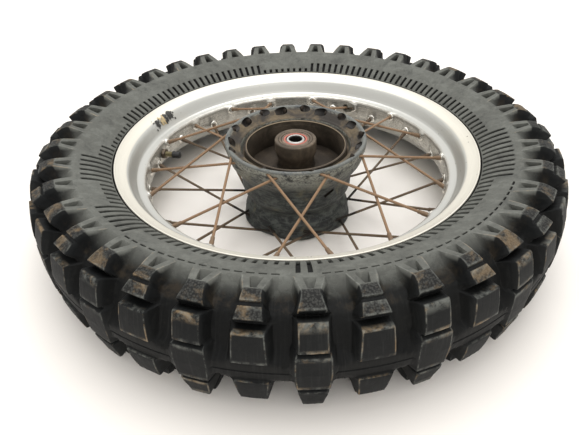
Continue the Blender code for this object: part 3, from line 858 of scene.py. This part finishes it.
def rim(finish, boss_finish):
    """The rim's hollow section, with a raised seat round every nipple."""
    outline = outward(fillet(mirrored(RIM_HALF), 0.9, 3))
    pts, radius, angle = turned_grid(outline, RIM_SEGMENTS)
    lift = np.zeros_like(radius)
    for _, flange, pair, way in every_spoke():
        hole = spoke_line(flange, pair, way)[0] / MM
        across = (angle - math.atan2(hole.y, hole.x) + math.pi) % TAU - math.pi
        distance = np.hypot(across * BED_RADIUS, pts[..., 2] - hole.z - flange.sign * 2)
        lift = np.maximum(lift, np.clip(1 - (distance / SEAT_RADIUS) ** 2, 0, 1) ** 0.9)
    on_bed = (radius < 212) & (np.abs(pts[..., 2]) < 16.6)
    lift = np.where(on_bed, lift, 0) * SEAT_HEIGHT
    pts[..., :2] *= ((radius - lift) / radius)[..., None]
    faces = grid_faces(len(outline), RIM_SEGMENTS).tolist()
    obj = mesh_object("rim_hoop", pts.reshape(-1, 3) * MM, faces, finish, 55)
    place(obj, "wheel", "rim_aluminium", "rim")
    boss = rod_mesh("nipple_boss", BOSS_DOME, 40, boss_finish)
    for name, flange, pair, way in every_spoke():
        end, direction, _ = spoke_line(flange, pair, way)
        inward = Vector((-end.x, -end.y, 0.35 * direction.z * end.length)).normalized()
        place(add_object(f"{name}_boss", boss, aim(end, inward)), "wheel", "rim_aluminium")


NIPPLE_STATIONS = [
    (2.9, 0), (3, 0.6), (3, 3.4), (3, 12.2), (2.6, 12.8), (2.6, 17), (2.4, 17.9), (2, 18.2),
]
NIPPLE_FLAT = 2.7


def nipple_mesh(finish):
    """A spoke nipple: round seat, four spanner flats, and a plain collar."""
    mesh = rod_mesh("nipple", NIPPLE_STATIONS, 32, finish)
    limit = NIPPLE_FLAT * MM
    for vertex in mesh.vertices:
        reach = max(abs(vertex.co.x), abs(vertex.co.y))
        if 3 * MM < vertex.co.z < 12.6 * MM and reach > limit:
            vertex.co.x *= limit / reach
            vertex.co.y *= limit / reach
    return mesh


def spokes(upper, lower, nipple_upper, nipple_lower):
    meshes = {"brake": (upper, nipple_mesh(nipple_upper)), "sprocket": (lower, nipple_mesh(nipple_lower))}
    for name, flange, pair, way in every_spoke():
        side = name.split("_")[0]
        finish, nipple = meshes[side]
        end, direction, seat = spoke_line(flange, pair, way)
        stations = [
            (1.4, 6), (1.75, 6.4), (1.75, 16), (1.72, seat * 0.5), (1.75, seat - 1.2), (2, seat - 0.3),
            (3, seat + 0.9), (3.4, seat + 1.5), (3.4, seat + 2.2), (2.9, seat + 2.6),
        ]
        shaft = add_object(f"{name}_wire", rod_mesh(name, stations, 20, finish), aim(end, direction))
        place(shaft, "wheel", "spoke_steel", name)
        piece = add_object(f"{name}_nipple", nipple, aim(end, direction))
        place(piece, "wheel", "spoke_steel")


def balance_weight(finish):
    """A split sleeve with eight flats, clamped on a nipple."""
    end, direction, _ = spoke_line(BRAKE_FLANGE, WEIGHTED_PAIR, -1)
    ridged = [(4.5, 7.2), (6.2, 7.2), (7.1, 8)]
    for z in (9.8, 12.6, 15.4):
        ridged += [(7.1, z), (6.5, z + 0.5), (6.5, z + 1.3), (7.1, z + 1.8)]
    loop = outward(ridged + [(7.1, 19), (6.2, 19.8), (4.5, 19.8)])
    steps = 60
    opening = math.radians(26)
    angles = opening / 2 + np.arange(steps + 1) * (TAU - opening) / steps
    facet = 1 - 0.035 * np.cos(8 * angles)
    pts = np.array([ring(r * facet if r > 6 else r, angles, z) for r, z in loop])
    faces = grid_faces(len(loop), steps + 1, wrap_columns=False).tolist()
    faces.append([i * (steps + 1) for i in range(len(loop))])
    faces.append([i * (steps + 1) + steps for i in reversed(range(len(loop)))])
    mesh = new_mesh("balance_weight_sleeve", pts.reshape(-1, 3) * MM, faces, finish)
    place(add_object(mesh.name, mesh, aim(end, direction)), "wheel", "weight_metal", "balance_weight")


THREAD_TURNS = 26
THREAD_START = 7.4
THREAD_PITCH = 0.8


def valve_stem(finish, matrix):
    stations = [(4, 0), (4, 7)]
    for turn in range(THREAD_TURNS):
        z = THREAD_START + turn * THREAD_PITCH
        stations += [(3.55, z), (3.98, z + 0.5 * THREAD_PITCH)]
    stations += [(3.5, 28.6), (2.7, 29.4), (2.7, 31.6), (2.3, 32)]
    mesh = rod_mesh("valve_stem_thread", stations, 32, finish)
    place(add_object(mesh.name, mesh, matrix), "wheel", "valve_brass", "valve_stem")


def valve_cap(finish, matrix):
    """A ribbed cap with a plain bore."""
    sides = 48
    angles = full_turn(sides)
    ribs = 1 - 0.05 * (np.arange(sides) % 4 < 2)
    bore = [ring(4.4, angles, z) for z in (33.4, 24.2)]
    skin = [(5.1, 24.2, 1), (5.1, 33.6, ribs), (4.6, 35.2, 1), (3.4, 36, 1)]
    pts = np.array(bore + [ring(r * ribbed, angles, z) for r, z, ribbed in skin])
    mesh = new_mesh("valve_cap_ribbed", pts.reshape(-1, 3) * MM, capped_faces(len(pts), sides), finish)
    place(add_object(mesh.name, mesh, matrix), "wheel", "cap_plastic", "valve_cap")


def valve_nut(finish, matrix):
    """The hexagonal nut under the valve, with chamfered corners."""
    sides = 48
    angles = full_turn(sides)
    flat = 6.9 / np.cos((angles + math.pi / 6) % (math.pi / 3) - math.pi / 6)
    limits = ((4.4, 0), (7.2, 0), (8, 0.6), (8, 3.9), (7.2, 4.5), (4.4, 4.5))
    pts = np.array([ring(np.minimum(flat, limit), angles, z) for limit, z in limits])
    faces = grid_faces(len(limits), sides).tolist()
    mesh = new_mesh("valve_nut_hexagon", pts.reshape(-1, 3) * MM, faces, finish)
    place(add_object(mesh.name, mesh, matrix), "wheel", "bearing_steel", "valve_nut")


def valve(brass, steel, plastic):
    inward = polar(-1, VALVE_ANGLE, 0)
    base = aim(polar(214, VALVE_ANGLE, 0), inward)
    valve_stem(brass, base)
    valve_nut(steel, aim(polar(VALVE_NUT_RADIUS, VALVE_ANGLE, 0), inward))
    valve_cap(plastic, base)


# the rim's inner band under the sticker, and its ends in degrees round the wheel
STICKER_BAND = [(221.6, 23.2), (223.2, 26.9), (224.8, 30.5), (226.6, 33.8), (229.2, 36), (232, 37.5)]
STICKER_ARC = (148.5, 160.5)
STICKER_CELLS = (26, 110)
# row, column, half height and half width of each scrap, in cells of its grid
STICKER_SCRAPS = [(14, 20, 10, 12), (11, 46, 11, 14), (8, 66, 7, 10), (12, 90, 9, 9)]
STICKER_KEPT = 0.36
STICKER_STAND_OFF = (-0.75, 0.55)
STICKER_THICKNESS = 0.12
GOLD_PATCH_ANGLE = math.radians(155.4)


def sticker_field():
    """How much of the sticker is left at each cell of its grid."""
    rows, columns = STICKER_CELLS
    rng = np.random.default_rng(3)
    field = np.zeros((rows, columns))
    i, j = np.mgrid[0:rows, 0:columns]
    for row, column, tall, wide in STICKER_SCRAPS:
        scrap = 1.2 - np.abs((i - row) / tall) ** 3 - np.abs((j - column) / wide) ** 3
        field = np.maximum(field, scrap)
    coarse = rng.normal(0, 0.35, (rows // 4 + 2, columns // 5 + 2))
    return field + coarse[i // 4, j // 5] + rng.normal(0, 0.05, field.shape)


def sticker(finish):
    """Torn scraps of a sticker on the rim's inner band."""
    rows, columns = STICKER_CELLS
    steps = np.linspace(0, len(STICKER_BAND) - 1, rows)
    radii, heights = [np.interp(steps, range(len(STICKER_BAND)), values) for values in zip(*STICKER_BAND)]
    angles = np.radians(np.linspace(*STICKER_ARC, columns))
    field = sticker_field()
    bm = bmesh.new()

    @functools.cache
    def corner(i, j):
        inward, up = STICKER_STAND_OFF
        return bm.verts.new(polar(radii[i] + inward, angles[j], heights[i] + up))

    for i in range(rows - 1):
        for j in range(columns - 1):
            if field[i, j] > STICKER_KEPT:
                bm.faces.new((corner(i, j), corner(i + 1, j), corner(i + 1, j + 1), corner(i, j + 1)))
    obj = add_object("torn_sticker", mesh_of("torn_sticker", bm, finish))
    thick = obj.modifiers.new("thickness", "SOLIDIFY")
    thick.thickness = STICKER_THICKNESS * MM
    place(obj, "wheel", "rim_aluminium")


# ---- hub and bearings

# the casting's outline, from the brake flange's lip down the outside, and back up through the bore
HUB_OUTLINE = [
    (93.2, 52.2), (95.6, 52.2), (96.9, 50.8), (97.2, 48.6), (97, 45), (96.4, 41), (95, 37.5), (94.6, 33),
    (93, 27.5), (90.8, 22.5), (90, 22.2), (87.4, 17), (86.6, 16.7), (83.8, 12), (83, 11.7), (80.6, 7.4),
    (79.8, 7.1), (78.2, 2.5), (77.9, 0), (77.7, -10), (77.4, -18), (74.5, -24.5), (69, -31),
    (66.6, -36), (66.6, -41),
    # sprocket flange
    (70.4, -47), (73.4, -52), (75.4, -57), (76.4, -61.6), (79.4, -63.4), (80.8, -64.6), (80.8, -68),
    (79.4, -69.1),
    # hollow in the sprocket side
    (70.2, -69), (69.8, -51), (57, -42), (57, -9), (33, -9), (31, -69),
    # seats of the oil seal, circlip and bearings
    (26, -69), (26, -66.3), (23.5, -66.3), (23.5, -65.7), (25, -65.7), (25, -64.1), (23.5, -64.1),
    (23.5, -49.7), (16, -49.7), (16, 32.7), (23.5, 32.7),
    # boss and drum
    (23.5, 47.2), (27.6, 47.2), (28.7, 46), (29, 38), (28.9, 31), (27.6, 25.5), (25.8, 20.5),
    (25, 12), (27, 6.5), (33, 4.6), (52, 4.2), (60, 3.4), (71.4, 3.2), (71.4, 29), (73.5, 29),
    (75.2, 31), (76, 39.4), (78, 40.8), (79.6, 40.9), (90.2, 49.4), (91.6, 51.4),
]
HUB_SEGMENTS = 432
STUD_LOBES = 6
FIRST_LOBE = math.radians(30)
WAVE_COUNTS = (7, 13, 23, 37, 61)
SLOT_PLACE_RADIUS = 78
SLOT_ANGLE = math.radians(303.5)
SLOT_TILT = math.radians(25)
SLOT_SIZE = (0.008, 0.016, 0.005)


def hub_points():
    """The turned casting with stud lobes, scallops between the spoke pairs, and uneven cast skin."""
    outline = outward(fillet(HUB_OUTLINE, 1.1, 3))
    pts, radius, angle = turned_grid(outline, HUB_SEGMENTS)
    height = pts[..., 2]
    lobe = 0.5 + 0.5 * np.cos(STUD_LOBES * (angle - FIRST_LOBE))
    on_flange = (height < -61) & (radius > 76.2)
    shrink = np.where(on_flange, (1 - lobe) ** 1.3 * (radius - 76) * 0.95, 0)
    scallop = 0.5 + 0.5 * np.cos(SPOKE_PAIRS * (angle - BRAKE_FLANGE.first_angle) + math.pi)
    on_waist = (height > 20) & (height < 40) & (radius > 84)
    shrink += np.where(on_waist, 1.6 * scallop ** 2, 0)
    rng = np.random.default_rng(11)
    waves = sum(
        rng.uniform(0.03, 0.1) * np.sin(k * angle + height * rng.uniform(-0.3, 0.3) + rng.uniform(0, TAU))
        for k in WAVE_COUNTS
    )
    cast = np.where((radius > 60) & (height < 50), waves, 0)
    scale = (radius - shrink + cast - 0.25 * (radius > 95)) / radius
    pts[..., :2] *= scale[..., None]
    return pts


def spoke_pocket(bm, flange, pair, way):
    """A stepped plug along a spoke, as wide as the spoke's hole and then as its head's pocket."""
    end, direction, seat = spoke_line(flange, pair, way)
    out = (spoke_crossing(flange, pair, way) - end).length / MM - 1.3
    stations = [(2.3, out), (2.3, seat - 0.4), (5.2, seat + 0.9), (6.2, seat + 3), (6.2, seat + 17)]
    sides = 20
    along_spoke = aim(end, direction)
    rows = []
    for r, z in stations:
        rows.append([bm.verts.new(along_spoke @ polar(r, TAU * i / sides, z)) for i in range(sides)])
    for a, b in zip(rows, rows[1:]):
        for i in range(sides):
            j = (i + 1) % sides
            bm.faces.new((a[i], a[j], b[j], b[i]))
    bm.faces.new(rows[0])
    bm.faces.new(rows[-1])


def hub_tool(finish):
    """What the hub's casting has cut out of it: the spokes' pockets and one slot in the waist."""
    bm = bmesh.new()
    for _, flange, pair, way in every_spoke():
        spoke_pocket(bm, flange, pair, way)
    slot = Matrix.Translation(polar(SLOT_PLACE_RADIUS, SLOT_ANGLE, 0)) @ Matrix.Rotation(SLOT_ANGLE, 4, "Z")
    slot = slot @ Matrix.Rotation(SLOT_TILT, 4, "X") @ Matrix.Diagonal((*SLOT_SIZE, 1))
    bmesh.ops.create_cube(bm, size=1, matrix=slot)
    bmesh.ops.recalc_face_normals(bm, faces=bm.faces)
    return add_object("hub_pockets", mesh_of("hub_pockets", bm, finish))


def hub(finish, pocket_finish):
    pts = hub_points()
    faces = grid_faces(len(pts), HUB_SEGMENTS).tolist()
    obj = mesh_object("hub_casting", pts.reshape(-1, 3) * MM, faces, finish, 50)
    # the walls cut for the pockets and the slot take the tool's near-black finish, which is painted shade
    tool = hub_tool(pocket_finish)
    cut = obj.modifiers.new("pockets", "BOOLEAN")
    cut.object = tool
    cut.solver = "EXACT"
    cut.material_mode = "TRANSFER"
    bpy.context.view_layer.update()
    cut_mesh = bpy.data.meshes.new_from_object(obj.evaluated_get(bpy.context.evaluated_depsgraph_get()))
    obj.modifiers.clear()
    obj.data = cut_mesh
    bpy.data.objects.remove(tool)
    place(obj, "wheel", "hub_shell", "hub_shell")


DRUM_LOOP = [
    (67.2, 3.4), (71, 3.4), (71, 39.2), (70.3, 39.7), (68, 39.7), (67.4, 38.4), (67.4, 34), (67.2, 33),
]
BALL_CIRCLE = 16
BALL_COUNT = 7
BALL_RADIUS = 4.35
BEARING_WIDTH = 14
SHIELD_THICKNESS = 0.7


def drum_liner(finish):
    place(turned("drum_liner", DRUM_LOOP, 360, finish, 0.35), "wheel", "drum_iron", "brake_drum_liner")


def groove(radius, middle, first):
    """A ball groove's section, from one angle of its arc to the opposite one."""
    return [(BALL_CIRCLE + radius * math.cos(a), middle + abs(radius) * math.sin(a))
            for a in np.linspace(first, -first, 11)]


def bearing(side, base, seal_base, steel, race_steel, rubber):
    middle = base + 0.5 * BEARING_WIDTH
    top = base + BEARING_WIDTH
    outer = [(23.2, base), (23.2, top), (20.1, top), (19.6, top - 1.6)] + groove(5.1, middle, 0.95)
    outer += [(19.6, base + 1.6), (20.1, base)]
    ring_outer = turned(f"{side}_bearing_outer_ring", outer, 144, steel, 0.25, 2)
    place(ring_outer, "wheel", "bearing_steel", f"{side}_bearing_outer_race")
    inner = [(9.9, base), (11.8, base), (12.9, base + 1.5)] + groove(-4.75, middle, -0.95)
    inner += [(12.9, top - 1.5), (11.8, top), (9.9, top), (8.5, top - 1.4), (8.5, base + 1.4)]
    ring_inner = turned(f"{side}_bearing_inner_ring", inner, 144, race_steel, 0.5, 3)
    place(ring_inner, "axle_sleeve", "bearing_steel", f"{side}_bearing_inner_race")
    low, high = seal_base, seal_base + SHIELD_THICKNESS
    shield = [(13.7, low), (19.3, low), (19.3, high), (17.4, high), (17.1, high - 0.3), (16.5, high - 0.3),
              (16.2, high), (13.7, high)]
    if side == "sprocket":
        shield = [(r, low + high - z) for r, z in shield]
    shield_ring = turned(f"{side}_bearing_shield", shield, 144, rubber, 0.12, 2)
    place(shield_ring, "wheel", "seal_rubber", f"{side}_bearing_seal")
    ball_cage(side, middle, steel)


def ball_cage(side, middle, finish):
    bm = bmesh.new()
    for i in range(BALL_COUNT):
        spot = Matrix.Translation(polar(BALL_CIRCLE, TAU * i / BALL_COUNT, middle))
        bmesh.ops.create_uvsphere(bm, u_segments=24, v_segments=14, radius=BALL_RADIUS * MM, matrix=spot)
    loop = outward([(14.9, middle - 0.8), (17.1, middle - 0.8), (17.1, middle + 0.8), (14.9, middle + 0.8)])
    verts = [bm.verts.new(p) for p in turned_points(loop, 96).reshape(-1, 3) * MM]
    for quad in grid_faces(len(loop), 96):
        bm.faces.new([verts[i] for i in quad])
    mesh = mesh_of(f"{side}_balls", bm, finish)
    mesh.shade_smooth()
    mesh.set_sharp_from_angle(angle=math.radians(40))
    obj = add_object(f"{side}_balls_in_cage", mesh)
    place(obj, f"{side}_ball_set", "cage_steel", f"{side}_bearing_balls_and_cage")


SPACER_LOOP = [(8.7, -49.7), (12, -49.7), (12, 32.7), (8.7, 32.7)]
OIL_SEAL_LOOP = [
    (14, -69), (25.6, -69), (25.6, -66.6), (19, -66.6), (17.5, -67.6), (15.5, -67.2), (14, -68.2),
]
BAND_HALF = [(212.6, 9), (214, 9)]
TUBE_SKIN_HALF = [
    (215.4, 8.5), (226, 14), (246, 27), (266, 42), (288, 49), (306, 38), (317, 16),
]
TUBE_LINING_HALF = [
    (217.8, 7.5), (227.5, 12), (247.5, 24.6), (267, 39.4), (287.6, 46.2), (304.2, 36.2), (314.6, 15.2),
]
TUBE_SEGMENTS = 240


def small_rings(spacer_steel, seal_rubber, tube_rubber, band_rubber):
    spacer = turned("spacer_tube", SPACER_LOOP, 96, spacer_steel, 0.4)
    place(spacer, "axle_sleeve", "bearing_steel", "bearing_spacer")
    seal = turned("oil_seal_ring", OIL_SEAL_LOOP, 144, seal_rubber, 0.3)
    place(seal, "wheel", "oil_seal_rubber", "sprocket_side_oil_seal")
    band = turned("rim_band_strip", mirrored(BAND_HALF), 360, band_rubber, 0.4)
    place(band, "wheel", "band_rubber", "rim_band")
    inner_tube(tube_rubber)


def tube_wall(half):
    """One surface of the tube, starting with the row nearest the rim, where the valve enters."""
    path = outward(fillet(mirrored(half), 6, 3))
    nearest = int(np.argmin(path[:, 0] + 1e3 * (np.abs(path[:, 1]) > 9)))
    return turned_points(np.roll(path, -nearest, 0), TUBE_SEGMENTS, start=VALVE_ANGLE)


def inner_tube(finish):
    """Two surfaces of wall, joined round the hole where the valve enters."""
    skin, lining = tube_wall(TUBE_SKIN_HALF), tube_wall(TUBE_LINING_HALF)
    skin_faces = grid_faces(len(skin), TUBE_SEGMENTS)
    lining_faces = grid_faces(len(lining), TUBE_SEGMENTS)[:, ::-1] + len(skin) * TUBE_SEGMENTS
    faces = skin_faces[1:].tolist() + lining_faces[1:].tolist()
    near = list(skin_faces[0])
    far = list(lining_faces[0])[::-1]
    for i in range(4):
        j = (i + 1) % 4
        faces.append([near[j], near[i], far[i], far[j]])
    points = np.vstack([skin.reshape(-1, 3), lining.reshape(-1, 3)])
    obj = mesh_object("tube_air", points * MM, faces, finish, 60)
    face_out(obj)
    place(obj, "wheel", "tube_rubber", "inner_tube")


CLIP_LOW, CLIP_HIGH = -65.4, -64.4
CLIP_OUTER = 24.6


def circlip(finish):
    """A snap ring that thickens to an eye at each end."""
    steps = 120
    columns = steps + 1
    gap = math.radians(34)
    angles = gap / 2 + np.arange(columns) * (TAU - gap) / steps
    from_end = np.minimum(angles - angles[0], angles[-1] - angles) * 22
    eye = 19.6 + 1.8 * (from_end / 4) ** 2
    bore = np.where(from_end < 4, eye, 21.4 + 0.8 * np.sin(angles / 2) ** 2)
    corners = ((bore, CLIP_LOW), (CLIP_OUTER, CLIP_LOW), (CLIP_OUTER, CLIP_HIGH), (bore, CLIP_HIGH))
    pts = np.array([ring(r, angles, z) for r, z in corners])
    faces = grid_faces(4, columns, wrap_columns=False)[:, ::-1].tolist()
    faces.append([row * columns for row in range(4)])
    faces.append([row * columns + steps for row in (3, 2, 1, 0)])
    obj = mesh_object("snap_ring", pts.reshape(-1, 3) * MM, faces, finish)
    face_out(obj)
    place(obj, "wheel", "bearing_steel", "bearing_circlip")


def floor(finish):
    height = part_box("tyre")[0].z - FLOOR_GAP
    corners = [(x * FLOOR_HALF, y * FLOOR_HALF, height) for x, y in ((-1, -1), (1, -1), (1, 1), (-1, 1))]
    mesh_object("floor", corners, [(0, 1, 2, 3)], finish)


def build():
    camera()
    studio()
    tyre(tyre_material())
    rim(rim_material(), steel_material("boss_aluminium", "e8e5dc", 0.16))
    # the lower, sprocket-side spokes and nipples take darker copies of the upper ones' colours: painted shade
    # under the hub and the upper spokes, over real rust
    upper = rusty_material("upper_spoke_rust", "c4b090", "8c7055", "574536", 0.74)
    lower = rusty_material("lower_spoke_rust", "857a66", "63523f", "352b22", 0.62)
    upper_nipple = rusty_material("upper_nipple_rust", "857a68", "7a634c", "3d332b", 0.5)
    lower_nipple = rusty_material("shaded_lower_nipple_rust", "6b6254", "5b4a39", "2d2620", 0.5)
    spokes(upper, lower, upper_nipple, lower_nipple)
    balance_weight(steel_material("weight_steel", "6a6860", 0.5))
    # the hub's pockets get a near-black finish: painted shade in the pockets
    hub(hub_material(), rubber_material("pocket_painted_shade", "15110d", "2f261c"))
    drum_liner(iron_material())
    steel = steel_material("bearing_steel", "655b50", 0.4)
    bright = race_material()
    red = seal_material()
    bearing("brake", BRAKE_BEARING_BASE, BRAKE_BEARING_BASE + 12.7, steel, bright, red)
    bearing("sprocket", SPROCKET_BEARING_BASE, SPROCKET_BEARING_BASE + 0.6, steel, bright, red)
    small_rings(
        steel_material("spacer_steel", "2b2724", 0.5),
        rubber_material("oil_seal_rubber", "2a1d17", "4a382d"),
        rubber_material("tube_rubber", "1c1c1c", "2d2d2c"),
        rubber_material("band_rubber", "33291f", "4f4335"),
    )
    circlip(steel)
    brass = steel_material("valve_brass", "8c8468", 0.35)
    valve(brass, steel, rubber_material("cap_plastic", "161616", "262626"))
    sticker(sticker_material())
    floor(floor_material())


build()
